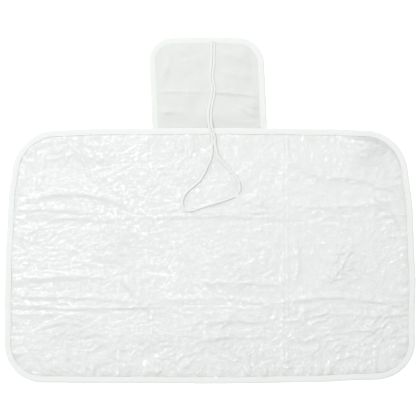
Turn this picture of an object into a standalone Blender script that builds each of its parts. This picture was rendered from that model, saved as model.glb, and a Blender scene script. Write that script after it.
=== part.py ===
"""A folding cape: clear film over a white lining, bound all round, with a cloth flap and an elastic loop.

The cape lies open and flat on the XY plane, in metres, +Z up, with its flap along +Y. Two creases along Y
and two along X divide it into nine panels. Each panel, the flap and the loop can turn, so the sheets and
the tape are divided at the creases, and every fold's axis is raised by half of the stack that it closes on.
"""

import math

import bmesh
import bpy
from mathutils import Vector

# Outline of the open cape.
WIDTH = 0.615
HALF_LENGTH = 0.2595  # from the middle to the lower hem, and to the flap's free edge
PANEL_TOP = 0.1230  # the upper hem of the nine panels
CORNER_RADIUS = 0.056
SIDE_TAPER = 0.070  # how much narrower the upper hem is
TOP_BOW = 0.0045  # how far the upper hem drops at its ends
LEFT_LIFT = 0.0015  # how far the lower hem rises at its left end
RIGHT_LIFT = 0.0085  # and at its right end

# Outline of the flap.
FLAP_WIDTH = 0.1725
FLAP_RADIUS = 0.034
FLAP_CROWN = 0.0042
FLAP_LEAN = 0.0065  # its free edge sits this far to the left of its base
FLAP_CENTRE = -0.0005
FLAP_ROOT = 0.060  # where its uncut outline starts, under the panels

# Creases.
CREASE_X = (-0.0900, 0.1125)
CREASE_Y = (-0.1425, -0.0075)

# Layers, from the surface that the cape lies on.
TAPE = 0.0004
GAP = 0.0003
LINING = 0.0005
FILM = 0.0003
FLAP_CLOTH = 0.0004
TAPE_WIDTH = 0.0092
LINING_LOW = TAPE + GAP
FILM_LOW = LINING_LOW + LINING + GAP
THICKNESS = FILM_LOW + FILM + GAP + TAPE

# The stacks that the folds close on. A crumpled layer stands higher than its flat thickness, and the
# upper row folds with the loop lying inside it.
LAYER = 0.0038
CLEAR = 0.0002
CORD_RADIUS = 0.00175
CORD_ROOM = 2 * (CORD_RADIUS + GAP)
LEFT_AXIS = {"top": THICKNESS + CORD_ROOM / 2, "middle": LAYER, "bottom": LAYER}
RIGHT_AXIS = {row: height + LAYER / 2 for row, height in LEFT_AXIS.items()}
LOWER_AXIS = RIGHT_AXIS["middle"] + RIGHT_AXIS["bottom"] + CLEAR
UPPER_AXIS = LOWER_AXIS + RIGHT_AXIS["top"] + CLEAR
FLAP_AXIS = UPPER_AXIS + (THICKNESS + CORD_ROOM) / 2

# The elastic loop. Its two strands run side by side, then open into a ring.
CORD_HEIGHT = THICKNESS + GAP + CORD_RADIUS
STRAND_OFFSET = 0.0020
STRANDS = (
    (0.0046, 0.2515), (0.0043, 0.2260), (0.0020, 0.2030), (0.0028, 0.1930), (0.0050, 0.1830),
    (0.0038, 0.1700), (0.0012, 0.1575), (-0.0005, 0.1450), (0.0000, 0.1305), (0.0022, 0.1190),
    (0.0053, 0.1080), (0.0056, 0.0975),
)
RING = (
    (0.0014, 0.0780), (-0.0060, 0.0610), (-0.0140, 0.0460), (-0.0250, 0.0355), (-0.0345, 0.0275),
    (-0.0402, 0.0180), (-0.0415, 0.0085), (-0.0378, 0.0005), (-0.0290, -0.0012), (-0.0170, 0.0025),
    (0.0000, 0.0080), (0.0180, 0.0135), (0.0350, 0.0200), (0.0440, 0.0290), (0.0430, 0.0420),
    (0.0330, 0.0560), (0.0220, 0.0680), (0.0130, 0.0790),
)
ROUTE_STEPS = 2  # curve points on each stretch between two route points

CORNER_STEPS = 10
EDGE_STEP = 0.020
REACH = 0.5  # half size of a cutter that must clear the whole cape

ROWS = ("top", "middle", "bottom")
COLUMNS = ("left", "centre", "right")
WHITE = (0.84, 0.85, 0.845)


def rounded_outline(width, low, high, radius):
    """Points round a rounded rectangle that is centred on X = 0, anticlockwise."""
    points = []
    for across, up, start in ((1, -1, -90), (1, 1, 0), (-1, 1, 90), (-1, -1, 180)):
        centre = Vector((across * (width / 2 - radius), high - radius if up > 0 else low + radius))
        for step in range(CORNER_STEPS + 1):
            turn = math.radians(start + 90 * step / CORNER_STEPS)
            points.append(centre + radius * Vector((math.cos(turn), math.sin(turn))))
    outline = []
    for here, there in zip(points, points[1:] + points[:1]):
        parts = max(1, math.ceil((there - here).length / EDGE_STEP))
        outline += [here.lerp(there, part / parts) for part in range(parts)]
    return outline


def cape_outline(inset):
    """The nine panels' outline, moved in by inset."""
    low, high = -HALF_LENGTH, PANEL_TOP
    outline = []
    for x, y in rounded_outline(WIDTH - 2 * inset, low + inset, high - inset, CORNER_RADIUS - inset):
        up, out = (y - low) / (high - low), 2 * x / WIDTH
        lift = RIGHT_LIFT if out > 0 else LEFT_LIFT
        drop = (TOP_BOW * up - lift * (1 - up)) * out**2
        outline.append((x * (1 - SIDE_TAPER * up**4), y - drop))
    return outline


def flap_outline(inset):
    """The flap's outline, moved in by inset."""
    outline = []
    for x, y in rounded_outline(FLAP_WIDTH - 2 * inset, FLAP_ROOT, HALF_LENGTH - inset, FLAP_RADIUS - inset):
        lean = FLAP_LEAN * (y - PANEL_TOP) / (HALF_LENGTH - PANEL_TOP)
        crown = FLAP_CROWN * (2 * x / FLAP_WIDTH) ** 2
        outline.append((x + FLAP_CENTRE - lean, y - crown))
    return outline


def material(name, colour, roughness, alpha=1.0):
    made = bpy.data.materials.new(name)
    made.use_nodes = True
    shader = made.node_tree.nodes["Principled BSDF"]
    shader.inputs["Base Color"].default_value = (*colour, 1)
    shader.inputs["Roughness"].default_value = roughness
    shader.inputs["Metallic"].default_value = 0.0
    shader.inputs["Alpha"].default_value = alpha
    return made


def collection(name):
    made = bpy.data.collections.new(name)
    bpy.context.scene.collection.children.link(made)
    return made


def mesh_of(thing):
    """The welded mesh of an object as evaluated; the object itself is removed."""
    bpy.context.view_layer.update()
    mesh = bpy.data.meshes.new_from_object(thing.evaluated_get(bpy.context.evaluated_depsgraph_get()))
    mesh.transform(thing.matrix_world)
    shape = bmesh.new()
    shape.from_mesh(mesh)
    bmesh.ops.remove_doubles(shape, verts=shape.verts, dist=0.00001)
    shape.to_mesh(mesh)
    shape.free()
    bpy.data.objects.remove(thing)
    return mesh


def plate(outline, low, high):
    """The mesh of a flat plate between two heights."""
    curve = bpy.data.curves.new("plate", "CURVE")
    curve.dimensions = "2D"
    curve.fill_mode = "BOTH"
    curve.extrude = (high - low) / 2
    spline = curve.splines.new("POLY")
    spline.points.add(len(outline) - 1)
    for point, (x, y) in zip(spline.points, outline):
        point.co = (x, y, 0, 1)
    spline.use_cyclic_u = True
    thing = bpy.data.objects.new("plate", curve)
    thing.location.z = (low + high) / 2
    bpy.context.scene.collection.objects.link(thing)
    return mesh_of(thing)


def cutter(name, mesh):
    thing = bpy.data.objects.new(name, mesh)
    thing.hide_render = True
    thing.display_type = "WIRE"
    cutters.objects.link(thing)
    return thing


def box_cutter(name, low, high):
    """A tall box over a rectangle of the XY plane."""
    shape = bmesh.new()
    bmesh.ops.create_cube(shape, size=1)
    bmesh.ops.scale(shape, vec=(high[0] - low[0], high[1] - low[1], REACH), verts=shape.verts)
    bmesh.ops.translate(shape, vec=((high[0] + low[0]) / 2, (high[1] + low[1]) / 2, 0), verts=shape.verts)
    mesh = bpy.data.meshes.new(name)
    shape.to_mesh(mesh)
    shape.free()
    return cutter(name, mesh)


def add_boolean(thing, operation, tool):
    step = thing.modifiers.new(operation.lower(), "BOOLEAN")
    step.operation = operation
    step.solver = "EXACT"
    step.object = tool


def ring(name, outline, cuts):
    """The mesh of an edge tape: a C section open to the inside, between the outline and its inner edge."""
    thing = bpy.data.objects.new(name, plate(outline(0), 0, THICKNESS))
    bpy.context.scene.collection.objects.link(thing)
    window = cutter(name + "_window", plate(outline(TAPE_WIDTH), -THICKNESS, 2 * THICKNESS))
    slot = cutter(name + "_slot", plate(outline(TAPE + GAP), TAPE, THICKNESS - TAPE))
    for tool in (slot, window, *cuts):
        add_boolean(thing, "DIFFERENCE", tool)
    return mesh_of(thing)


def world_matrix(empty):
    bpy.context.view_layer.update()
    return empty.matrix_world.copy()


def part(name, mesh, finish, body, tools=()):
    """One named piece, on a body's empty, with its Boolean steps."""
    thing = bpy.data.objects.new(name, mesh)
    thing.data.materials.clear()
    thing.data.materials.append(finish)
    cape.objects.link(thing)
    thing.parent = body
    thing.matrix_parent_inverse = world_matrix(body).inverted()
    for operation, tool in tools:
        add_boolean(thing, operation, tool)
    return thing


def hinge(name, place, parent=None):
    """An empty on a joint's axis, which carries the pieces that turn on it."""
    made = bpy.data.objects.new(name, None)
    made.empty_display_size = 0.02
    cape.objects.link(made)
    made.location = place
    if parent:
        made.parent = parent
        made.matrix_parent_inverse = world_matrix(parent).inverted()
    return made


def smooth_route(points, steps):
    """Points on a Catmull-Rom curve through the route's points."""
    ends = [points[0], *points, points[-1]]
    made = []
    for before, here, there, after in zip(ends, ends[1:], ends[2:], ends[3:]):
        for step in range(steps):
            t = step / steps
            made.append(
                ((2 * here) + (there - before) * t + (2 * before - 5 * here + 4 * there - after) * t**2
                 + (3 * here - before - 3 * there + after) * t**3) / 2
            )
    return [*made, points[-1]]


def loop_route():
    """The loop's centreline: down the left strand, round the ring and up the right strand."""
    side, height = Vector((STRAND_OFFSET, 0, 0)), Vector((0, 0, CORD_HEIGHT))
    strands = [Vector((*point, 0)) + height for point in STRANDS]
    opened = [Vector((*point, 0)) + height for point in RING]
    return [p - side for p in strands] + opened + [p + side for p in reversed(strands)]


def make_loop(finish, body):
    curve = bpy.data.curves.new("elastic_loop", "CURVE")
    curve.dimensions = "3D"
    curve.bevel_depth = CORD_RADIUS
    curve.bevel_resolution = 2
    curve.use_fill_caps = True
    route = smooth_route(loop_route(), ROUTE_STEPS)
    spline = curve.splines.new("POLY")
    spline.points.add(len(route) - 1)
    for point, place in zip(spline.points, route):
        point.co = (*place, 1)
    part("elastic_loop", curve, finish, body)


def make_bodies():
    """The empties of the eleven bodies, each on its joint's axis."""
    left, right = CREASE_X
    lower, upper = CREASE_Y
    bodies = {"top_centre": hinge("top_centre_body", (0, PANEL_TOP, 0))}
    bodies["middle_centre"] = hinge("middle_centre_body", (0, upper, UPPER_AXIS), bodies["top_centre"])
    bodies["bottom_centre"] = hinge("bottom_centre_body", (0, lower, LOWER_AXIS), bodies["middle_centre"])
    for row in ROWS:
        parent = bodies[row + "_centre"]
        bodies[row + "_left"] = hinge(row + "_left_body", (left, 0, LEFT_AXIS[row]), parent)
        bodies[row + "_right"] = hinge(row + "_right_body", (right, 0, RIGHT_AXIS[row]), parent)
    bodies["flap"] = hinge("flap_body", (0, PANEL_TOP, FLAP_AXIS), bodies["top_centre"])
    bodies["loop"] = hinge("loop_body", (*STRANDS[0], CORD_HEIGHT), bodies["flap"])
    return bodies


def make_panels(bodies, finishes):
    """Film, lining and tape of the nine panels; the middle one has no tape."""
    sheet_outline = cape_outline(TAPE + 2 * GAP)
    layers = {
        "film": plate(sheet_outline, FILM_LOW, FILM_LOW + FILM),
        "lining": plate(sheet_outline, LINING_LOW, LINING_LOW + LINING),
        "binding": ring("binding", cape_outline, ()),
    }
    edges_x = (-REACH, *CREASE_X, REACH)
    edges_y = (REACH, *reversed(CREASE_Y), -REACH)
    for i, row in enumerate(ROWS):
        for j, column in enumerate(COLUMNS):
            low = (edges_x[j] + GAP / 2, edges_y[i + 1] + GAP / 2)
            high = (edges_x[j + 1] - GAP / 2, edges_y[i] - GAP / 2)
            cell = box_cutter(f"cell_{row}_{column}", low, high)
            for layer, mesh in layers.items():
                if (layer, row, column) != ("binding", "middle", "centre"):
                    body = bodies[f"{row}_{column}"]
                    part(f"{layer}_{row}_{column}", mesh, finishes[layer], body, (("INTERSECT", cell),))


def make_flap(bodies, finishes):
    """The flap's two cloths and its tape, cut clear of the panels' upper hem."""
    hem = cutter("hem", plate(cape_outline(-GAP), -THICKNESS, 2 * THICKNESS))
    sheet_outline = flap_outline(TAPE + 2 * GAP)
    back_low = TAPE + GAP
    front_low = THICKNESS - TAPE - GAP - FLAP_CLOTH
    for name, low in (("flap_back", back_low), ("flap_front", front_low)):
        mesh = plate(sheet_outline, low, low + FLAP_CLOTH)
        part(name, mesh, finishes[name], bodies["flap"], (("DIFFERENCE", hem),))
    part("flap_binding", ring("flap_tape", flap_outline, (hem,)), finishes["flap_binding"], bodies["flap"])


for old in list(bpy.data.objects):
    bpy.data.objects.remove(old)
cape = collection("barber_cape")
cutters = collection("cutters")
finishes = {
    "film": material("clear_film", (0.86, 0.88, 0.88), 0.08, 0.30),
    "lining": material("lining_cloth", WHITE, 0.75),
    "binding": material("binding_tape", WHITE, 0.60),
    "flap_front": material("flap_front_cloth", WHITE, 0.80),
    "flap_back": material("flap_back_cloth", WHITE, 0.80),
    "flap_binding": material("flap_tape", WHITE, 0.60),
    "loop": material("elastic", WHITE, 0.70),
}
bodies = make_bodies()
make_panels(bodies, finishes)
make_flap(bodies, finishes)
make_loop(finishes["loop"], bodies["loop"])
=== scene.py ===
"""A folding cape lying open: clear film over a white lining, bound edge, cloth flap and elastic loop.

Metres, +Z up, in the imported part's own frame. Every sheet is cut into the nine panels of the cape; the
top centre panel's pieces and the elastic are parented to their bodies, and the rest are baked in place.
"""

import math

import bpy
import numpy as np
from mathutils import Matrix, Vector
from mathutils.kdtree import KDTree


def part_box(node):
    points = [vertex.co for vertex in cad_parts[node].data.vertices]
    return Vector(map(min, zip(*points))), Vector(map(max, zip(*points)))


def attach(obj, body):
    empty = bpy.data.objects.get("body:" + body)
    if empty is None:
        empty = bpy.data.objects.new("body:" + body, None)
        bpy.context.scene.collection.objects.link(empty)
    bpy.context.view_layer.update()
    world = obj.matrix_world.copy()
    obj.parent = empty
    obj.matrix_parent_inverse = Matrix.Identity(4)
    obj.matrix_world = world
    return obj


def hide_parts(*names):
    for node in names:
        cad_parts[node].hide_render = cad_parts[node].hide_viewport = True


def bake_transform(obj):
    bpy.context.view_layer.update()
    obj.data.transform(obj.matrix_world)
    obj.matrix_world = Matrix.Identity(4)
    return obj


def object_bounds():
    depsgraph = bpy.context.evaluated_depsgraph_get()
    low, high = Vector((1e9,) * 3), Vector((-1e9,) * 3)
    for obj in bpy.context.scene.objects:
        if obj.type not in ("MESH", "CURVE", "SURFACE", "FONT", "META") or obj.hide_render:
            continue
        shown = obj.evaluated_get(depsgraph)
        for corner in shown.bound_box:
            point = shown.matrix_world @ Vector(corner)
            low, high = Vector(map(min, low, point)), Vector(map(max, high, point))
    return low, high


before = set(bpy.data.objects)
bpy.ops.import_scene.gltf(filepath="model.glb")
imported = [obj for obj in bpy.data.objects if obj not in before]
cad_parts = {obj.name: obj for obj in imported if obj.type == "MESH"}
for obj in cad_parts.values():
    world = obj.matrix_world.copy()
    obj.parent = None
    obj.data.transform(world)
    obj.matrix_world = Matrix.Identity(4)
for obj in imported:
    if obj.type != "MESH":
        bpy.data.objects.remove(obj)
CAD_BOX = [list(corner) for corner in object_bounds()]

# The cape's outline, creases and layers, as its solids have them.
LOW = CAD_BOX[0][1]
PANEL_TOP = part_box("binding_top_centre")[1].y
FLAP_TOP = CAD_BOX[1][1]
WIDTH = CAD_BOX[1][0] - CAD_BOX[0][0]
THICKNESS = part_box("binding_top_left")[1].z
CREASE_X = (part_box("film_top_left")[1].x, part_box("film_top_right")[0].x)
CREASE_Y = (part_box("film_bottom_centre")[1].y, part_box("film_middle_centre")[1].y)
CORNER_RADIUS = 0.056
SIDE_TAPER = 0.070
TOP_BOW = 0.0045
LEFT_LIFT = 0.0015
RIGHT_LIFT = 0.0085
FLAP_WIDTH = 0.1725
FLAP_RADIUS = 0.034
FLAP_CROWN = 0.0042
FLAP_LEAN = 0.0065
FLAP_CENTRE = -0.0005
TAPE_WIDTH = 0.0092
TAPE = 0.0004
FOLD_DEPTH = 0.00125  # how far in the tape's rounded edge reaches
LINING_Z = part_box("lining_top_centre")[1].z
FILM_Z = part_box("film_top_centre")[1].z
FLAP_FRONT_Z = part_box("flap_front")[1].z
FLAP_BACK_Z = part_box("flap_back")[1].z

ROWS = ("top", "middle", "bottom")
COLUMNS = ("left", "centre", "right")
FILM_STEP = 0.0016
CLOTH_STEP = 0.0030
CLOTH_ROOM = 0.0009  # the most that the lining's folds rise
FILM_ROOM = 0.0011  # the most that the film's folds rise off the lining's
MM = 0.001


# ---- noise ---------------------------------------------------------------------------------------

def noise(x, y, seed):
    """Smooth gradient noise, about -1 to 1, one cell wide for each unit."""
    size = 97
    turn = np.random.default_rng(seed).uniform(0, 2 * np.pi, (size, size))
    x0, y0 = np.floor(x).astype(int), np.floor(y).astype(int)
    fx, fy = x - x0, y - y0
    total = 0.0
    for dx in (0, 1):
        for dy in (0, 1):
            angle = turn[(x0 + dx) % size, (y0 + dy) % size]
            ax, ay = np.abs(fx - dx), np.abs(fy - dy)
            weight = (1 - ax**3 * (ax * (6 * ax - 15) + 10)) * (1 - ay**3 * (ay * (6 * ay - 15) + 10))
            total = total + weight * (np.cos(angle) * (fx - dx) + np.sin(angle) * (fy - dy))
    return 1.6 * total


def ridges(x, y, seed, sharp=0.06):
    """Crests along the zero lines of the noise: 1 on a crest, falling to about 0 between."""
    n = noise(x, y, seed)
    return 1 - np.sqrt(n * n + sharp * sharp) * 1.5


def bell(value, width):
    return np.exp(-((value / width) ** 2))


def ramp(value, low, high):
    t = np.clip((value - low) / (high - low), 0, 1)
    return t * t * (3 - 2 * t)


# ---- outlines ------------------------------------------------------------------------------------

def half_width(y, width, low, high, radius):
    """Half the width of a rounded rectangle at height y."""
    over = np.maximum(np.maximum(low + radius - y, y - (high - radius)), 0)
    return width / 2 - radius + np.sqrt(np.maximum(radius**2 - over**2, 0))


def side_scale(x, y):
    """How far the cape's sides are drawn in at height y, with a little unevenness of their own."""
    up = (y - LOW) / (PANEL_TOP - LOW)
    uneven = np.where(x > 0, noise(y / 0.052, y * 0 + 0.5, 12), noise(y / 0.046, y * 0 + 0.5, 13))
    return 1 - SIDE_TAPER * up**4 + 0.0035 * uneven


def warp_cape(x, y):
    """The rounded rectangle made the cape's own shape, with its creases left straight."""
    out = 2 * x / WIDTH
    lift = np.where(out > 0, RIGHT_LIFT, LEFT_LIFT)
    from_hem = np.clip((y - LOW) / (CREASE_Y[0] - LOW), 0, 1)
    from_top = np.clip((PANEL_TOP - y) / (PANEL_TOP - CREASE_Y[1]), 0, 1)
    hem = lift * out**2 + 0.0006 * noise(x / 0.05, x * 0 + 0.5, 14)
    top = 0.0007 * noise(x / 0.06, x * 0 + 0.5, 15) - TOP_BOW * out**2
    return x * side_scale(x, y), y + hem * (1 - from_hem**2) + top * (1 - from_top**2)


def warp_flap(x, y):
    lean = FLAP_LEAN * (y - PANEL_TOP) / (FLAP_TOP - PANEL_TOP)
    return x + FLAP_CENTRE - lean, y - FLAP_CROWN * (2 * x / FLAP_WIDTH) ** 2


def rounded_path(width, low, high, radius, step, warp):
    """Points round a rounded rectangle, anticlockwise from its lower right corner, after the warp."""
    points = []
    for across, up, start in ((1, -1, -90), (1, 1, 0), (-1, 1, 90), (-1, -1, 180)):
        cx, cy = across * (width / 2 - radius), high - radius if up > 0 else low + radius
        turns = np.radians(start + np.linspace(0, 90, 1 + math.ceil(radius * math.pi / 2 / step)))
        points += list(np.stack([cx + radius * np.cos(turns), cy + radius * np.sin(turns)], 1))
    made = []
    for here, there in zip(points, points[1:] + points[:1]):
        parts = max(1, math.ceil(np.linalg.norm(there - here) / step))
        made += [here + (there - here) * part / parts for part in range(parts)]
    x, y = np.array(made).T
    return np.stack(warp(x, y), 1)


PATH_STEP = 0.0015
CAPE_EDGE = rounded_path(WIDTH, LOW, PANEL_TOP, CORNER_RADIUS, PATH_STEP, warp_cape)
FLAP_ROOT = PANEL_TOP - 0.060
FLAP_EDGE = rounded_path(FLAP_WIDTH, FLAP_ROOT, FLAP_TOP, FLAP_RADIUS, PATH_STEP, warp_flap)


def nearest(x, y, points):
    """How far each place is from the nearest of the points, and that point's number."""
    tree = KDTree(len(points))
    for number, (px, py) in enumerate(points):
        tree.insert((px, py, 0), number)
    tree.balance()
    found = [tree.find((px, py, 0))[1:] for px, py in zip(x.ravel().tolist(), y.ravel().tolist())]
    which, far = zip(*found)
    return np.array(far).reshape(x.shape), np.array(which).reshape(x.shape)


# ---- the elastic loop's route, as its solid has it -----------------------------------------------

CORD_DIAMETER = 0.0035
STRAND_OFFSET = 0.0020
STRANDS = (
    (0.0046, 0.2515), (0.0043, 0.2260), (0.0020, 0.2030), (0.0028, 0.1930), (0.0050, 0.1830),
    (0.0038, 0.1700), (0.0012, 0.1575), (-0.0005, 0.1450), (0.0000, 0.1305), (0.0022, 0.1190),
    (0.0053, 0.1080), (0.0056, 0.0975),
)
RING = (
    (0.0014, 0.0780), (-0.0060, 0.0610), (-0.0140, 0.0460), (-0.0250, 0.0355), (-0.0345, 0.0275),
    (-0.0402, 0.0180), (-0.0415, 0.0085), (-0.0378, 0.0005), (-0.0290, -0.0012), (-0.0170, 0.0025),
    (0.0000, 0.0080), (0.0180, 0.0135), (0.0350, 0.0200), (0.0440, 0.0290), (0.0430, 0.0420),
    (0.0330, 0.0560), (0.0220, 0.0680), (0.0130, 0.0790),
)


def loop_route(steps):
    """Points on a Catmull-Rom curve down the left strand, round the ring and up the right strand."""
    side = np.array([STRAND_OFFSET, 0])
    strands = np.array(STRANDS)
    points = np.concatenate([strands - side, np.array(RING), strands[::-1] + side])
    ends = np.concatenate([points[:1], points, points[-1:]])
    before, here, there, after = ends[:-3], ends[1:-2], ends[2:-1], ends[3:]
    t = (np.arange(steps) / steps)[None, :, None]
    before, here, there, after = (p[:, None] for p in (before, here, there, after))
    curve = (2 * here + (there - before) * t + (2 * before - 5 * here + 4 * there - after) * t**2
             + (3 * here - before - 3 * there + after) * t**3) / 2
    return np.concatenate([curve.reshape(-1, 2), points[-1:]])


CORD_LINE = loop_route(6)


# ---- the lie of the sheets -----------------------------------------------------------------------

# Long soft folds: from, to, bow to the left of the way, height and half width, in millimetres.
LONG_FOLDS = (
    (-288, 10, -122, 6, 17, 1.9, 4.5), (-296, 0, -165, -8, 5, 1.7, 3.8),
    (-250, -8, -120, -13, -4, 1.2, 3.0), (-292, -106, -150, -102, 5, 1.5, 5.0),
    (-292, -131, -100, -137, 3, 1.5, 3.5), (-292, -143, -95, -143, -4, 1.2, 3.0),
    (-294, -157, -165, -163, 4, 1.3, 4.0), (-134, -102, -93, -150, 0, 1.4, 3.2),
    (-222, 112, -150, 72, -8, 1.5, 3.5), (-206, 92, -182, 44, 7, 1.3, 2.6),
    (112, 78, 196, 48, -8, 1.7, 5.0), (190, 50, 286, 24, 6, 1.8, 4.5),
    (118, 8, 280, 14, -5, 1.4, 4.5), (112, -138, 300, -147, 12, 1.7, 4.0),
    (150, -152, 300, -156, -4, 1.2, 2.5), (-40, -172, 92, -167, 4, 1.3, 2.6),
    (-54, -187, 62, -180, -5, 1.2, 2.6), (-20, -196, 90, -192, 4, 1.1, 2.4),
    (-90, -133, 108, -139, 3, 1.1, 3.0), (-8, -109, 105, -112, 2, 1.2, 2.8),
    (238, 18, 280, -26, 6, 1.7, 4.0), (-90, -12, 112, -14, 4, 1.1, 2.8),
    (-85, 4, 100, -2, -4, 1.0, 3.0), (45, 14, 112, -8, 5, 1.2, 3.0),
    (124, -40, 130, -104, 5, 1.5, 3.5), (-262, -180, -190, -172, 6, 1.2, 3.5),
    (205, -172, 268, -168, -9, 1.3, 2.4), (190, -186, 276, -190, 7, 1.1, 2.6),
    (-250, 88, -262, 30, 6, 1.2, 3.5), (250, 96, 284, 66, 8, 1.6, 5.0),
    (-70, 98, -42, 88, -3, 0.9, 2.2), (-26, 104, -34, 78, 3, 1.1, 2.0),
    (20, 102, 34, 76, 3, 1.0, 2.2),
)
# Where the film is crumpled finest: centre and radii in millimetres, and how much.
CRUMPLED = (
    (-203, 92, 48, 32, 0.9), (-28, 66, 62, 50, 0.65), (-152, -54, 62, 34, 1.0),
    (-274, -44, 24, 38, 0.6), (30, -92, 48, 36, 1.0), (198, -86, 36, 36, 1.3),
    (0, -208, 320, 40, 1.0), (214, -6, 60, 18, 0.7), (250, 92, 36, 28, 0.7), (60, 8, 44, 18, 0.7),
    (-268, 88, 26, 34, 0.6), (-198, -178, 60, 22, 1.3), (-70, -232, 40, 22, 1.3),
    (20, -226, 60, 18, 1.2), (96, -232, 30, 20, 1.3), (30, -166, 60, 18, 1.2),
    (160, -164, 50, 22, 1.2), (262, -176, 30, 30, 1.2), (-200, -226, 80, 22, 1.1),
)


def along_fold(x, y, ax, ay, bx, by):
    """How far along a fold each place is, as a share, and how far off to its left."""
    way = np.array([bx - ax, by - ay]) * MM
    length = np.hypot(*way)
    along = ((x - ax * MM) * way[0] + (y - ay * MM) * way[1]) / length**2
    off = ((y - ay * MM) * way[0] - (x - ax * MM) * way[1]) / length
    return along, off


def long_folds(x, y):
    total = 0.0
    for ax, ay, bx, by, bow, height, width in LONG_FOLDS:
        along, off = along_fold(x, y, ax, ay, bx, by)
        shape = 4 * np.clip(along, 0, 1) * (1 - np.clip(along, 0, 1))
        wander = 1.6 * MM * noise(x / 0.022, y / 0.022, 11)
        crest = bell(off - bow * MM * shape - wander, width * MM)
        total = total + height * MM * crest * ramp(along, -0.08, 0.18) * (1 - ramp(along, 0.82, 1.08))
    return total


def creases(x, y):
    """The fold lines: a shallow valley between two thin ridges, straighter along Y than along X."""
    total = 0.0
    for place in CREASE_X:
        off = x - place - 0.8 * MM * noise(y / 0.045, y * 0 + 0.5, 21)
        height = 0.80 + 0.45 * noise(y / 0.022, y * 0 + 0.5, 22)
        total = total + height * MM * (bell(off - 3.4 * MM, 1.9 * MM) + bell(off + 3.4 * MM, 1.9 * MM))
    for place in CREASE_Y:
        off = y - place - 2.4 * MM * noise(x / 0.08, x * 0 + 0.5, 23)
        height = 0.42 + 0.42 * noise(x / 0.035, x * 0 + 0.5, 24)
        total = total + height * MM * (bell(off - 3.0 * MM, 2.1 * MM) + bell(off + 3.0 * MM, 2.1 * MM))
        streaks = np.maximum(ridges(x / 0.075, y / 0.0085, 25, 0.10) - 0.45, 0)
        total = total + 1.6 * MM * streaks * bell(y - place, 0.020)
    return total


def pillow(x, y):
    """Each panel's slight dome between its creases."""
    edges_x = np.array([-WIDTH / 2, *CREASE_X, WIDTH / 2])
    edges_y = np.array([LOW, *CREASE_Y, PANEL_TOP])
    total = 1.0
    for value, edges in ((x, edges_x), (y, edges_y)):
        cell = np.clip(np.searchsorted(edges, value) - 1, 0, 2)
        low, high = edges[cell], edges[cell + 1]
        across = np.clip((2 * value - low - high) / (high - low), -1, 1)
        total = total * (1 - across**4)
    return 0.4 * MM * total


def lie(x, y):
    """How far the whole cape rises off the surface that it lies on."""
    wave = 0.5 + 0.5 * noise(x / 0.14 + 3.1, y / 0.11 + 1.7, 31)
    across_flap = ramp(x, -0.098, -0.086) * (1 - ramp(x, 0.084, 0.096))
    under_flap = across_flap * ramp(y, PANEL_TOP - 0.03, PANEL_TOP - 0.010)
    near_cord = bell(nearest(x, y, CORD_LINE[::6])[0], 0.03)
    return 0.4 * MM * wave * (1 - 0.8 * near_cord) + 0.7 * MM * under_flap


def crumple(x, y, finest=True):
    """The fine crinkles, zero or higher; the cloth under the film has only the wider ones."""
    amount = 0.34
    for cx, cy, rx, ry, share in CRUMPLED:
        far = np.hypot((x / MM - cx) / rx, (y / MM - cy) / ry)
        amount = np.maximum(amount, share * (1 - ramp(far, 0.55, 1.25)))
    amount = amount * (0.8 + 0.6 * noise(x / 0.035, y / 0.03, 41))
    wx = 0.55 * noise(x / 0.028, y / 0.028, 42)
    wy = 0.55 * noise(x / 0.028, y / 0.028, 43)
    total = 2.3 * np.maximum(ridges(x / 0.0200 + wx, y / 0.0130 + wy, 44), 0) ** 2
    if finest:
        total = total + 1.8 * np.maximum(ridges(x / 0.0095 + 1.5 * wy, y / 0.0075 - 1.5 * wx, 45), 0) ** 2
        total = total + 0.9 * np.maximum(ridges(x / 0.0055 - 2 * wx, y / 0.0050 + 2 * wy, 46), 0) ** 2
    return np.clip(amount, 0, 1.5) * MM * total


def puckers(x, y, far, which):
    """Short gathers that run in from the bound edge, deepest along the lower hem."""
    along = which * PATH_STEP
    wave = np.maximum(noise(along / 0.0085, far / 0.05, 51), -0.2) + 0.2
    depth = 0.5 + 1.2 * (1 - ramp(y, LOW + 0.03, LOW + 0.12)) + 0.4 * ramp(x, 0.2, 0.29)
    return 1.6 * MM * depth * wave * bell(far - TAPE_WIDTH, 0.016)


def under_cord(x, y, z, top):
    """z, pressed down where the elastic lies over it."""
    far = nearest(x, y, CORD_LINE[::2])[0]
    limit = top + np.maximum(far - 0.0022, 0) * 0.30
    return np.minimum(z, limit)


def settled(rise, room):
    """A rise pressed to stay under the room it has, so that the folded layers fit."""
    return room * (1 - np.exp(-np.maximum(rise, 0) / room))


def cloth_rise(x, y, far, which):
    inside = ramp(far, TAPE_WIDTH - 0.002, TAPE_WIDTH + 0.010)
    soft = 0.75 * long_folds(x, y) + 0.7 * creases(x, y) + pillow(x, y)
    small = 0.25 * MM * noise(x / 0.018, y / 0.015, 61) + 0.30 * crumple(x, y, False)
    corner = 7.5 * MM * bell(np.hypot(x - 0.234, y - 0.103), 0.030)
    gathers = 0.8 * puckers(x, y, far, which) * ramp(far, TAPE_WIDTH - 0.001, TAPE_WIDTH + 0.004)
    return inside * np.maximum(soft + small + corner, 0) + gathers


def film_rise(x, y, far, which):
    inside = ramp(far, TAPE_WIDTH - 0.001, TAPE_WIDTH + 0.006)
    above = 0.75 * long_folds(x, y) + 0.5 * creases(x, y) + crumple(x, y) + 0.6 * puckers(x, y, far, which)
    return inside * above + 0.45 * MM * bell(far - TAPE_WIDTH - 0.001, 0.004)


def cloth_heights(x, y, far, which):
    """The lining's top as it lies, and as steep as its folds look."""
    level, rise = LINING_Z + lie(x, y), cloth_rise(x, y, far, which)
    return level + settled(rise, CLOTH_ROOM), level + rise


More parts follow.
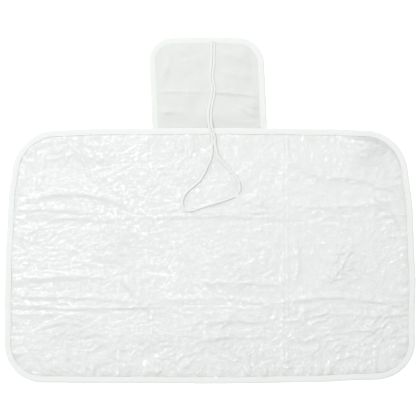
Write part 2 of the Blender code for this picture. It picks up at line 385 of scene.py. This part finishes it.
def film_heights(x, y, far, which):
    """The film as it lies, and as steep as its folds look."""
    lying, steep = cloth_heights(x, y, far, which)
    between, rise = FILM_Z - LINING_Z, film_rise(x, y, far, which)
    return lying + between + settled(rise, FILM_ROOM), steep + between + rise


def slopes(x, y, z):
    """Upward unit normals of a grid of heights, one row each."""
    down = np.stack([np.gradient(value, axis=0) for value in (x, y, z)], -1)
    across = np.stack([np.gradient(value, axis=1) for value in (x, y, z)], -1)
    normals = np.cross(across, down).reshape(-1, 3)
    normals *= np.sign(normals[:, 2:])
    return normals / np.linalg.norm(normals, axis=1)[:, None]


# ---- meshes --------------------------------------------------------------------------------------

def mesh_object(name, vertices, faces, smooth=True):
    mesh = bpy.data.meshes.new(name)
    mesh.from_pydata(np.asarray(vertices).tolist(), [], np.asarray(faces).tolist())
    mesh.validate()
    if smooth:
        mesh.polygons.foreach_set("use_smooth", [True] * len(mesh.polygons))
        mesh.set_sharp_from_angle(angle=math.radians(60))
    mesh.update()
    made = bpy.data.objects.new(name, mesh)
    bpy.context.scene.collection.objects.link(made)
    return made


def grid_faces(rows, columns):
    corner = (np.arange(rows - 1)[:, None] * columns + np.arange(columns - 1)[None]).ravel()
    return np.stack([corner, corner + 1, corner + columns + 1, corner + columns], 1)


def sheet_object(name, x, y, z, thick=0.0, steep=None):
    """A grid of places made into a sheet; with a thickness it is closed, and its top is at z.

    steep is the height whose slopes shade the sheet, where its folds are pressed flatter than they look."""
    rows, columns = x.shape
    top = np.stack([x.ravel(), y.ravel(), z.ravel()], 1)
    faces = grid_faces(rows, columns)
    shading = slopes(x, y, z if steep is None else steep)
    if not thick:
        made = mesh_object(name, top, faces)
        made.data.normals_split_custom_set_from_vertices(shading.tolist())
        return made
    count = len(top)
    numbers = np.arange(count).reshape(rows, columns)
    rim = np.concatenate([numbers[0], numbers[1:, -1], numbers[-1, -2::-1], numbers[-2:0:-1, 0]])
    after = np.roll(rim, -1)
    sides = np.stack([rim, rim + count, after + count, after], 1)
    both = np.concatenate([top, top - [0, 0, thick]])
    made = mesh_object(name, both, np.concatenate([faces, faces[:, ::-1] + count, sides]))
    made.data.normals_split_custom_set_from_vertices(np.concatenate([shading, -shading]).tolist())
    return made


def spread(low, high, step):
    return np.linspace(low, high, 1 + math.ceil((high - low) / step))


def cell_rows(row, inset, step):
    """The heights of a panel's grid lines, before the warp."""
    spans = {
        "top": (CREASE_Y[1], PANEL_TOP - inset), "middle": CREASE_Y, "bottom": (LOW + inset, CREASE_Y[0]),
    }
    return spread(*spans[row], step)


def cell_grid(row, column, inset, step):
    """A panel's grid in the plane: from the outline's inset line to its creases."""
    y = cell_rows(row, inset, step)
    side = half_width(y, WIDTH - 2 * inset, LOW + inset, PANEL_TOP - inset, CORNER_RADIUS - inset)
    left, right = (place / side_scale(y * 0 + place, y) for place in CREASE_X)
    low, high = {"left": (-side, left), "centre": (left, right), "right": (right, side)}[column]
    count = 1 + math.ceil((high - low).max() / step)
    across = low[:, None] + (high - low)[:, None] * np.linspace(0, 1, count)[None]
    return warp_cape(across, np.repeat(y[:, None], count, 1))


def flat_area(x, y):
    """The area of a grid in the plane."""
    before, after = slice(None, -1), slice(1, None)
    round_cell = ((before, before), (before, after), (after, after), (after, before))
    corners = [(x[part], y[part]) for part in round_cell]
    total = 0.0
    for (ax, ay), (bx, by) in zip(corners, corners[1:] + corners[:1]):
        total = total + ax * by - bx * ay
    return float(abs(total.sum()) / 2)


def turn_with(made, row, column):
    """The top centre panel's pieces follow their own body; every other panel's pieces are baked where they
    lie.
    """
    if column == "left":
        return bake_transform(made)
    if column == "right":
        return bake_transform(made)
    if row == "top":
        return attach(made, "top_centre")
    if row == "middle":
        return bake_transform(made)
    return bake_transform(made)


def dress(made, material):
    made.data.materials.clear()
    made.data.materials.append(material)
    return made


# ---- bound edges ---------------------------------------------------------------------------------

def tape_section():
    """Round the folded tape's section: share of the way in from the edge, and height."""
    wide, high, wall = TAPE_WIDTH, THICKNESS, TAPE
    top = [(wide, high - wall), (wide + 0.0002, high - 0.00020), (wide - 0.0001, high - 0.00004)]
    for u in (8.4, 7.8, 7.4, 7.0, 6.4, 5.0, 3.4, 2.0):
        top.append((u * MM, high - 0.00016 * math.exp(-(((u - 7.4) / 0.7) ** 2))))
    fold = []
    for turn in np.radians((20, 50, 75, 105, 130, 160)):
        fold.append((FOLD_DEPTH - FOLD_DEPTH * math.sin(turn), high / 2 + high / 2 * math.cos(turn)))
    under = [(u * MM, 0.0) for u in (2.0, 5.0, 8.0)] + [(wide, 0.00003), (wide, wall)]
    inner = [(0.0012, wall), (0.0005, high * 0.35), (0.0005, high * 0.65), (0.0012, high - wall)]
    return np.array(top + fold + under + inner)


SECTION = tape_section()


def inward(points):
    """Each point's direction in from the edge, on a closed path that runs anticlockwise."""
    way = np.roll(points, -2, 0) - np.roll(points, 2, 0)
    way /= np.linalg.norm(way, axis=1)[:, None]
    return np.stack([-way[:, 1], way[:, 0]], 1)


def cut_path(points, normals, lines):
    """The closed path's points and normals, with a point added where it crosses a line x = c or y = c."""
    made, directions = [], []
    for here, there, n0, n1 in zip(points, np.roll(points, -1, 0), normals, np.roll(normals, -1, 0)):
        made.append(here)
        directions.append(n0)
        for axis, value in lines:
            a, b = here[axis] - value, there[axis] - value
            if a * b < 0:
                share = a / (a - b)
                made.append(here + (there - here) * share)
                directions.append(n0 + (n1 - n0) * share)
    return np.array(made), np.array(directions)


def runs_where(points, inside):
    """Runs of point numbers on the closed path whose stretches lie where inside(middle) holds."""
    count = len(points)
    middle = (points + np.roll(points, -1, 0)) / 2
    held = inside(middle[:, 0], middle[:, 1])
    if held.all():
        return [list(range(count)) + [0]]
    runs = []
    for start in range(count):
        if held[start] and not held[start - 1]:
            run, at = [start], start
            while held[at % count]:
                at += 1
                run.append(at % count)
            runs.append(run)
    return runs


def sweep(points, normals, section, height_at):
    """Section (in from the edge, height) carried along the points; height_at gives each vertex's height."""
    u, w = section[:, 0][None], section[:, 1][None]
    x = points[:, 0:1] + normals[:, 0:1] * u
    y = points[:, 1:2] + normals[:, 1:2] * u
    z = height_at(x, y, np.broadcast_to(u, x.shape), np.broadcast_to(w, x.shape))
    rows, columns = x.shape
    corner = (np.arange(rows - 1)[:, None] * columns + np.arange(columns)[None]).ravel()
    after = (np.arange(rows - 1)[:, None] * columns + (np.arange(columns)[None] + 1) % columns).ravel()
    faces = np.stack([corner, after, after + columns, corner + columns], 1)
    return np.stack([x.ravel(), y.ravel(), z.ravel()], 1), faces


def joined(parts):
    """Several lots of vertices and faces made one."""
    vertices, faces, start = [], [], 0
    for points, quads in parts:
        vertices.append(points)
        faces.append(quads + start)
        start += len(points)
    return np.concatenate(vertices), np.concatenate(faces)


STITCH = 0.0030
STITCH_PITCH = 0.0041
STITCH_RADIUS = 0.00026
STITCH_IN = 0.0074
STITCH_SIDES = 6


def stitch_line(points, normals, height_at, side):
    """A row of stitches along the tape; side is 1 on its top and -1 underneath."""
    line = points + normals * STITCH_IN
    lengths = np.concatenate([[0], np.cumsum(np.linalg.norm(np.diff(line, axis=0), axis=1))])
    starts = np.arange(0.0006, lengths[-1] - STITCH, STITCH_PITCH)
    if not len(starts):
        return None
    stops = np.array([0.0, 0.12, 0.5, 0.88, 1.0])
    sizes = np.array([0.25, 0.85, 1.0, 0.85, 0.25])
    turns = np.linspace(0, 2 * np.pi, STITCH_SIDES, endpoint=False)
    along = starts[:, None] + STITCH * stops[None]
    x, y = np.interp(along, lengths, line[:, 0]), np.interp(along, lengths, line[:, 1])
    nx, ny = np.interp(along, lengths, normals[:, 0]), np.interp(along, lengths, normals[:, 1])
    slant = 0.00018 * (stops - 0.5)[None] * 2
    across = slant[..., None] + STITCH_RADIUS * sizes[None, :, None] * np.cos(turns)
    level = THICKNESS - 0.00010 if side > 0 else -0.00004
    dip = 0.0002 * (sizes < 0.5)[None, :, None] * side
    rise = STITCH_RADIUS * 0.8 * sizes[None, :, None] * np.sin(turns) - dip
    px, py = x[..., None] + nx[..., None] * across, y[..., None] + ny[..., None] * across
    z = height_at(px, py, np.full(px.shape, STITCH_IN), level + rise)
    vertices = np.stack([px.ravel(), py.ravel(), z.ravel()], 1)
    ring = np.arange(STITCH_SIDES)
    after = (ring + 1) % STITCH_SIDES
    one = []
    for first in STITCH_SIDES * np.arange(len(stops) - 1):
        second = first + STITCH_SIDES
        one.append(np.stack([first + ring, first + after, second + after, second + ring], 1))
    one = np.concatenate(one)
    faces = (np.arange(len(starts))[:, None, None] * STITCH_SIDES * len(stops) + one[None]).reshape(-1, 4)
    return vertices, faces


def cape_tape_height(x, y, u, w):
    """The tape lies with the cape, and its top swells a little between gathers."""
    swell = 0.00022 * noise(x / 0.010, y / 0.010, 71)
    swell = swell * np.clip(w / THICKNESS, 0, 1) * np.clip(u / 0.004, 0, 1)
    return w + lie(x, y) + swell


def flap_flatness(y):
    """0 where the flap is flat under the hem, 1 where it has its full thickness."""
    return ramp(y, PANEL_TOP - 0.0030, PANEL_TOP + 0.0220)


def flap_tape_height(x, y, u, w):
    swell = 0.00018 * noise(x / 0.011, y / 0.011, 72)
    swell = swell * np.clip(w / THICKNESS, 0, 1) * np.clip(u / 0.004, 0, 1)
    return w * (0.20 + 0.80 * flap_flatness(y)) + swell * flap_flatness(y) + flap_lie(x, y)


# ---- the flap ------------------------------------------------------------------------------------

# The flap's own folds, in the same form as the long ones.
FLAP_FOLDS = (
    (-88, 177, -6, 176, 1, 0.7, 2.2), (-4, 177, 78, 168, 2, 1.1, 2.4),
    (34, 178, 84, 150, -6, 1.0, 4.5), (40, 160, 84, 138, -4, 0.9, 3.5),
    (-86, 158, -56, 148, -4, 0.8, 3.5), (-84, 140, -40, 146, 3, 0.4, 3.2),
    (22, 131, 80, 133, -2, 0.8, 3.0), (16, 236, 60, 212, 6, 0.9, 7.0),
    (-48, 244, -14, 214, 5, 0.7, 6.0), (-64, 238, -74, 196, 6, 0.5, 5.0),
    (14, 206, 66, 192, 4, 0.7, 5.0), (-60, 188, -24, 166, -4, 0.6, 6.0),
)


def flap_lie(x, y):
    wave = 0.5 + 0.5 * noise(x / 0.09 + 5.2, y / 0.08 + 0.4, 81)
    return 0.5 * MM * wave * flap_flatness(y - 0.01) * (1 - bell(x - 0.003, 0.02))


def flap_folds(x, y):
    total = 0.0
    for ax, ay, bx, by, bow, height, width in FLAP_FOLDS:
        along, off = along_fold(x, y, ax, ay, bx, by)
        bend = bow * MM * 4 * np.clip(along, 0, 1) * (1 - np.clip(along, 0, 1))
        crest = height * MM * bell(off - bend, width * MM)
        total = total + crest * ramp(along, -0.1, 0.3) * (1 - ramp(along, 0.7, 1.1))
    return total


def flap_heights(x, y, far, base):
    """The front cloth as it lies, and as steep as its folds look."""
    inside = ramp(far, TAPE_WIDTH - 0.002, TAPE_WIDTH + 0.012) * flap_flatness(y)
    soft = 1.5 * flap_folds(x, y) + 0.5 * MM * bell(x, 0.06)
    soft = soft + 1.3 * MM * (0.5 + 0.5 * noise(x / 0.038, y / 0.030, 82))
    soft = soft + 0.25 * MM * noise(x / 0.014, y / 0.011, 83)
    swell = 0.4 * MM * bell(far - TAPE_WIDTH - 0.001, 0.004) * flap_flatness(y)
    level = base * (0.22 + 0.78 * flap_flatness(y)) + flap_lie(x, y) + swell
    return under_cord(x, y, level + inside * soft, FILM_UNDER_CORD), level + 1.7 * inside * soft


def flap_grid(inset, step):
    y = spread(PANEL_TOP - 0.006, FLAP_TOP - inset, step)
    side = half_width(y, FLAP_WIDTH - 2 * inset, FLAP_ROOT + inset, FLAP_TOP - inset, FLAP_RADIUS - inset)
    count = 1 + math.ceil(2 * side.max() / step)
    across = side[:, None] * np.linspace(-1, 1, count)[None]
    return warp_flap(across, np.repeat(y[:, None], count, 1))


# ---- materials -----------------------------------------------------------------------------------

def new_material(name, colour, roughness, **inputs):
    """A Principled material, its node tree and its shader node."""
    material = bpy.data.materials.new(name)
    material.use_nodes = True
    tree = material.node_tree
    shader = tree.nodes["Principled BSDF"]
    shader.inputs["Base Color"].default_value = (*colour, 1)
    shader.inputs["Roughness"].default_value = roughness
    for key, value in inputs.items():
        shader.inputs[key.replace("_", " ")].default_value = value
    return material, tree, shader


def texture(tree, kind, scale, source="Object", stretch=(1, 1, 1), **settings):
    """A texture node of that kind, fed by the object's or the map's coordinates."""
    places = tree.nodes.new("ShaderNodeTexCoord")
    mapping = tree.nodes.new("ShaderNodeMapping")
    mapping.inputs["Scale"].default_value = stretch
    tree.links.new(places.outputs[source], mapping.inputs["Vector"])
    node = tree.nodes.new(kind)
    node.inputs["Scale"].default_value = scale
    for key, value in settings.items():
        if key in node.inputs:
            node.inputs[key].default_value = value
        else:
            setattr(node, key, value)
    tree.links.new(mapping.outputs["Vector"], node.inputs["Vector"])
    return node


def bump(tree, shader, heights):
    """Bumps from several (socket, distance in metres) pairs, one after the other."""
    last = None
    for socket, distance in heights:
        node = tree.nodes.new("ShaderNodeBump")
        node.inputs["Distance"].default_value = distance
        tree.links.new(socket, node.inputs["Height"])
        if last:
            tree.links.new(last.outputs["Normal"], node.inputs["Normal"])
        last = node
    tree.links.new(last.outputs["Normal"], shader.inputs["Normal"])


def tint(tree, shader, socket, low, high):
    """Base colour between two greys, from a texture's value."""
    mix = tree.nodes.new("ShaderNodeMix")
    mix.data_type = "RGBA"
    mix.inputs["A"].default_value = (*low, 1)
    mix.inputs["B"].default_value = (*high, 1)
    tree.links.new(socket, mix.inputs["Factor"])
    tree.links.new(mix.outputs["Result"], shader.inputs["Base Color"])


def film_material():
    material, tree, shader = new_material("clear film", (0.94, 0.95, 0.95), 0.08, IOR=2.4, Alpha=0.30)
    grain = texture(tree, "ShaderNodeTexNoise", 420, Detail=3.0)
    dents = texture(tree, "ShaderNodeTexNoise", 110, stretch=(1, 1.5, 1), Detail=2.0, Distortion=0.8)
    creased = texture(tree, "ShaderNodeTexVoronoi", 75, stretch=(1, 1.5, 1), feature="DISTANCE_TO_EDGE")
    bump(tree, shader, [
        (dents.outputs["Fac"], 0.0026),
        (creased.outputs["Distance"], 0.0022),
        (grain.outputs["Fac"], 0.0002),
    ])
    return material


def woven_material(name, low, high, thread, depth, roughness=0.85, sheen=0.15):
    """Plain cloth: fine crossed threads, a little uneven in tone."""
    material, tree, shader = new_material(name, high, roughness, Sheen_Weight=sheen)
    patches = texture(tree, "ShaderNodeTexNoise", 60, Detail=4.0)
    warp = texture(tree, "ShaderNodeTexWave", 1 / thread, bands_direction="X", Distortion=0.4)
    weft = texture(tree, "ShaderNodeTexWave", 1 / thread, bands_direction="Y", Distortion=0.4)
    tint(tree, shader, patches.outputs["Fac"], low, high)
    bump(tree, shader, [
        (warp.outputs["Fac"], depth),
        (weft.outputs["Fac"], depth),
        (patches.outputs["Fac"], 0.0004),
    ])
    return material


def elastic_material():
    material, tree, shader = new_material("braided elastic", (0.80, 0.80, 0.79), 0.75, Sheen_Weight=0.3)
    ribs = texture(tree, "ShaderNodeTexWave", 1.0, source="UV", bands_direction="DIAGONAL", Distortion=0.2)
    fuzz = texture(tree, "ShaderNodeTexNoise", 900, Detail=2.0)
    # The ribs' colour follows their bump heights: painted shade darkens the grooves between the ribs and
    # the crests are painted lighter, since the braid itself is one white.
    tint(tree, shader, ribs.outputs["Fac"], (0.76, 0.765, 0.755), (0.84, 0.845, 0.835))
    bump(tree, shader, [(ribs.outputs["Fac"], 0.0004), (fuzz.outputs["Fac"], 0.0001)])
    return material


FILM = film_material()
LINING = woven_material("white lining", (0.775, 0.780, 0.775), (0.800, 0.806, 0.800), 0.0009, 0.00003)
BINDING = woven_material("woven tape", (0.790, 0.797, 0.787), (0.820, 0.827, 0.817), 0.0012, 0.00005, 0.8)
FLAP_CLOTH = woven_material("flap cloth", (0.715, 0.723, 0.705), (0.740, 0.747, 0.730), 0.0008, 0.00004)
ELASTIC = elastic_material()
THREAD = woven_material("sewing thread", (0.80, 0.80, 0.79), (0.84, 0.84, 0.83), 0.0004, 0.00004, 0.7, 0.3)


# ---- the cape's panels ---------------------------------------------------------------------------

SHEET_INSET = 0.0030
LINING_THICK = 0.0005
FLAP_THICK = 0.0003
FLAP_STEP = CLOTH_STEP * 0.7
# The most that each sheet's top may stand right under the elastic.
FILM_UNDER_CORD = 0.0026
LINING_UNDER_CORD = 0.0020


def panel_sheets(row, column):
    """The panel's film and lining, in place of their solids."""
    x, y = cell_grid(row, column, SHEET_INSET, FILM_STEP)
    far, which = nearest(x, y, CAPE_EDGE)
    lying, steep = film_heights(x, y, far, which)
    z = under_cord(x, y, lying, FILM_UNDER_CORD)
    film = dress(sheet_object(f"clear_film_{row}_{column}", x, y, z, steep=steep), FILM)
    film_area = flat_area(x, y)
    size = (float(np.ptp(x)), float(np.ptp(y)))
    x, y = cell_grid(row, column, SHEET_INSET, CLOTH_STEP)
    far, which = nearest(x, y, CAPE_EDGE)
    lying, steep = cloth_heights(x, y, far, which)
    z = under_cord(x, y, lying, LINING_UNDER_CORD)
    name = f"white_lining_{row}_{column}"
    lining = dress(sheet_object(name, x, y, z, LINING_THICK, steep), LINING)
    return film, lining, size, film_area


def in_cell(row, column):
    """Whether places lie in the panel's third of the width and of the length."""
    low_x, high_x = {"left": (-9, CREASE_X[0]), "centre": CREASE_X, "right": (CREASE_X[1], 9)}[column]
    low_y, high_y = {"top": (CREASE_Y[1], 9), "middle": CREASE_Y, "bottom": (-9, CREASE_Y[0])}[row]
    return lambda x, y: (x > low_x) & (x < high_x) & (y > low_y) & (y < high_y)


EDGE_POINTS, EDGE_NORMALS = cut_path(
    CAPE_EDGE, inward(CAPE_EDGE), [(0, CREASE_X[0]), (0, CREASE_X[1]), (1, CREASE_Y[0]), (1, CREASE_Y[1])]
)


def panel_edge(row, column):
    """The panel's stretch of folded tape and its stitches."""
    tapes, stitches = [], []
    for run in runs_where(EDGE_POINTS, in_cell(row, column)):
        points, normals = EDGE_POINTS[run], EDGE_NORMALS[run]
        tapes.append(sweep(points, normals, SECTION, cape_tape_height))
        for side in (1, -1):
            line = stitch_line(points, normals, cape_tape_height, side)
            if line:
                stitches.append(line)
    tape = dress(mesh_object(f"edge_tape_{row}_{column}", *joined(tapes)), BINDING)
    thread = dress(mesh_object(f"stitching_{row}_{column}", *joined(stitches)), THREAD)
    return tape, thread


def build_panel(row, column):
    film, lining, size, area = panel_sheets(row, column)
    edges = [] if (row, column) == ("middle", "centre") else list(panel_edge(row, column))
    for made in (film, lining, *edges):
        turn_with(made, row, column)
    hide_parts(f"film_{row}_{column}")
    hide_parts(f"lining_{row}_{column}")
    if edges:
        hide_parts(f"binding_{row}_{column}")


for a_row in ROWS:
    for a_column in COLUMNS:
        build_panel(a_row, a_column)


# ---- the flap and its elastic loop ---------------------------------------------------------------

FLAP_UNDER_HEM = 0.0008  # how far the flap's tape runs in under the hem


def turn_with_flap(made):
    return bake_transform(made)


def build_flap():
    x, y = flap_grid(SHEET_INSET, FLAP_STEP)
    far, _ = nearest(x, y, FLAP_EDGE)
    lying, steep = flap_heights(x, y, far, FLAP_FRONT_Z)
    front = sheet_object("flap_front_cloth", x, y, lying, FLAP_THICK, steep)
    under = FLAP_BACK_Z * (0.12 + 0.88 * flap_flatness(y)) + flap_lie(x, y)
    back = sheet_object("flap_back_cloth", x, y, under, FLAP_THICK)
    size, area = (float(np.ptp(x)), float(np.ptp(y))), flat_area(x, y)
    cut = PANEL_TOP - FLAP_UNDER_HEM
    points, normals = cut_path(FLAP_EDGE, inward(FLAP_EDGE), [(1, cut)])
    tapes, stitches = [], []
    for run in runs_where(points, lambda px, py: py > cut):
        tapes.append(sweep(points[run], normals[run], SECTION, flap_tape_height))
        for side in (1, -1):
            stitches.append(stitch_line(points[run], normals[run], flap_tape_height, side))
    tape = dress(mesh_object("flap_edge_tape", *joined(tapes)), BINDING)
    thread = dress(mesh_object("flap_stitching", *joined(stitches)), THREAD)
    for made, node in ((front, "flap_front"), (back, "flap_back"), (tape, "flap_binding")):
        if made is not tape:
            dress(made, FLAP_CLOTH)
        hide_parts(node)
    for made in (front, back, tape, thread):
        turn_with_flap(made)


CORD_HEIGHT = (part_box("elastic_loop")[0].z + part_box("elastic_loop")[1].z) / 2
CORD_HALF_WIDE = 0.00192
CORD_HALF_HIGH = 0.00100
AROUND = 16


def cord_level(y):
    """The height of the cord's middle: it sinks onto the cloth and rises over the hem."""
    return CORD_HEIGHT - 0.0014 + 0.0009 * bell(y - (PANEL_TOP - 0.005), 0.011)


def build_loop():
    """The elastic as a soft, slightly flattened tube along its route."""
    line = CORD_LINE
    way = np.gradient(line, axis=0)
    way /= np.linalg.norm(way, axis=1)[:, None]
    side = np.stack([-way[:, 1], way[:, 0]], 1)
    lengths = np.concatenate([[0], np.cumsum(np.linalg.norm(np.diff(line, axis=0), axis=1))])
    turns = np.linspace(0, 2 * np.pi, AROUND, endpoint=False)
    swell = 1 + 0.03 * noise(lengths / 0.012, lengths * 0, 91)
    half_wide, half_high = CORD_HALF_WIDE * swell, CORD_HALF_HIGH * swell
    across = half_wide[:, None] * np.cos(turns)[None]
    x, y = line[:, 0:1] + side[:, 0:1] * across, line[:, 1:2] + side[:, 1:2] * across
    z = cord_level(y) + half_high[:, None] * np.sin(turns)[None]
    vertices = np.stack([x.ravel(), y.ravel(), z.ravel()], 1)
    stations = len(line)
    corner = np.arange(stations - 1)[:, None] * AROUND + np.arange(AROUND)[None]
    after = np.arange(stations - 1)[:, None] * AROUND + (np.arange(AROUND)[None] + 1) % AROUND
    faces = np.stack([numbers.ravel() for numbers in (corner, after, after + AROUND, corner + AROUND)], 1)
    ends = [list(range(AROUND))[::-1], [(stations - 1) * AROUND + k for k in range(AROUND)]]
    faces = faces.tolist() + ends
    mesh = bpy.data.meshes.new("elastic_cord")
    mesh.from_pydata(vertices.tolist(), [], faces)
    mesh.polygons.foreach_set("use_smooth", [True] * len(mesh.polygons))
    layer = mesh.uv_layers.new(name="UVMap")
    for polygon in mesh.polygons:
        numbers = list(polygon.vertices)
        for loop, number in zip(polygon.loop_indices, numbers):
            station, turn = divmod(number, AROUND)
            if turn == 0 and AROUND - 1 in [n % AROUND for n in numbers]:
                turn = AROUND
            layer.data[loop].uv = (lengths[station] / CORD_DIAMETER, turn / AROUND)
    loop = bpy.data.objects.new("elastic_cord", mesh)
    bpy.context.scene.collection.objects.link(loop)
    dress(loop, ELASTIC)
    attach(loop, "loop")
    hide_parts("elastic_loop")


build_flap()
build_loop()


# ---- the floor, lights and camera ----------------------------------------------------------------

FLOOR_REACH = 6
FLOOR_GAP = 0.0002
CAMERA_HEIGHT = 1.4875


def build_floor():
    low, high = -FLOOR_REACH, FLOOR_REACH
    corners = [(low, low, 0), (high, low, 0), (high, high, 0), (low, high, 0)]
    floor = mesh_object("floor", corners, [(0, 1, 2, 3)], smooth=False)
    floor.location.z = -FLOOR_GAP
    material, _, shader = new_material("white floor", (0.93, 0.93, 0.93), 0.9, Emission_Strength=0.25)
    shader.inputs["Emission Color"].default_value = (1, 1, 1, 1)
    floor.data.materials.append(material)


def area_light(name, place, size, watts):
    """A rectangular light at that place, turned to the origin."""
    data = bpy.data.lights.new(name, "AREA")
    data.shape = "RECTANGLE"
    data.size, data.size_y = size
    data.energy = watts
    lamp = bpy.data.objects.new(name, data)
    bpy.context.scene.collection.objects.link(lamp)
    lamp.location = place
    lamp.rotation_euler = (-Vector(place)).to_track_quat("-Z", "Y").to_euler()


def build_lights():
    area_light("key", (-1.3, 1.3, 2.6), (1.6, 1.6), 52)
    area_light("glint one", (-0.50, 0.42, 1.4), (0.09, 0.12), 0.9)
    area_light("glint two", (0.52, 0.30, 1.4), (0.08, 0.08), 1.9)
    area_light("glint three", (-0.15, -0.75, 1.3), (0.18, 0.06), 1.9)
    area_light("glint four", (0.3, 1.1, 1.2), (0.50, 0.07), 1.6)
    world = bpy.data.worlds.new("studio")
    world.use_nodes = True
    world.node_tree.nodes["Background"].inputs["Color"].default_value = (0.975, 1.0, 0.985, 1)
    world.node_tree.nodes["Background"].inputs["Strength"].default_value = 0.56
    bpy.context.scene.world = world


def build_camera():
    data = bpy.data.cameras.new("camera")
    data.lens = 85
    data.sensor_width = 36
    camera = bpy.data.objects.new("camera", data)
    bpy.context.scene.collection.objects.link(camera)
    camera.location = (0, 0, CAMERA_HEIGHT)
    bpy.context.scene.camera = camera


build_floor()
build_lights()
build_camera()
bpy.context.scene.view_settings.view_transform = "Standard"
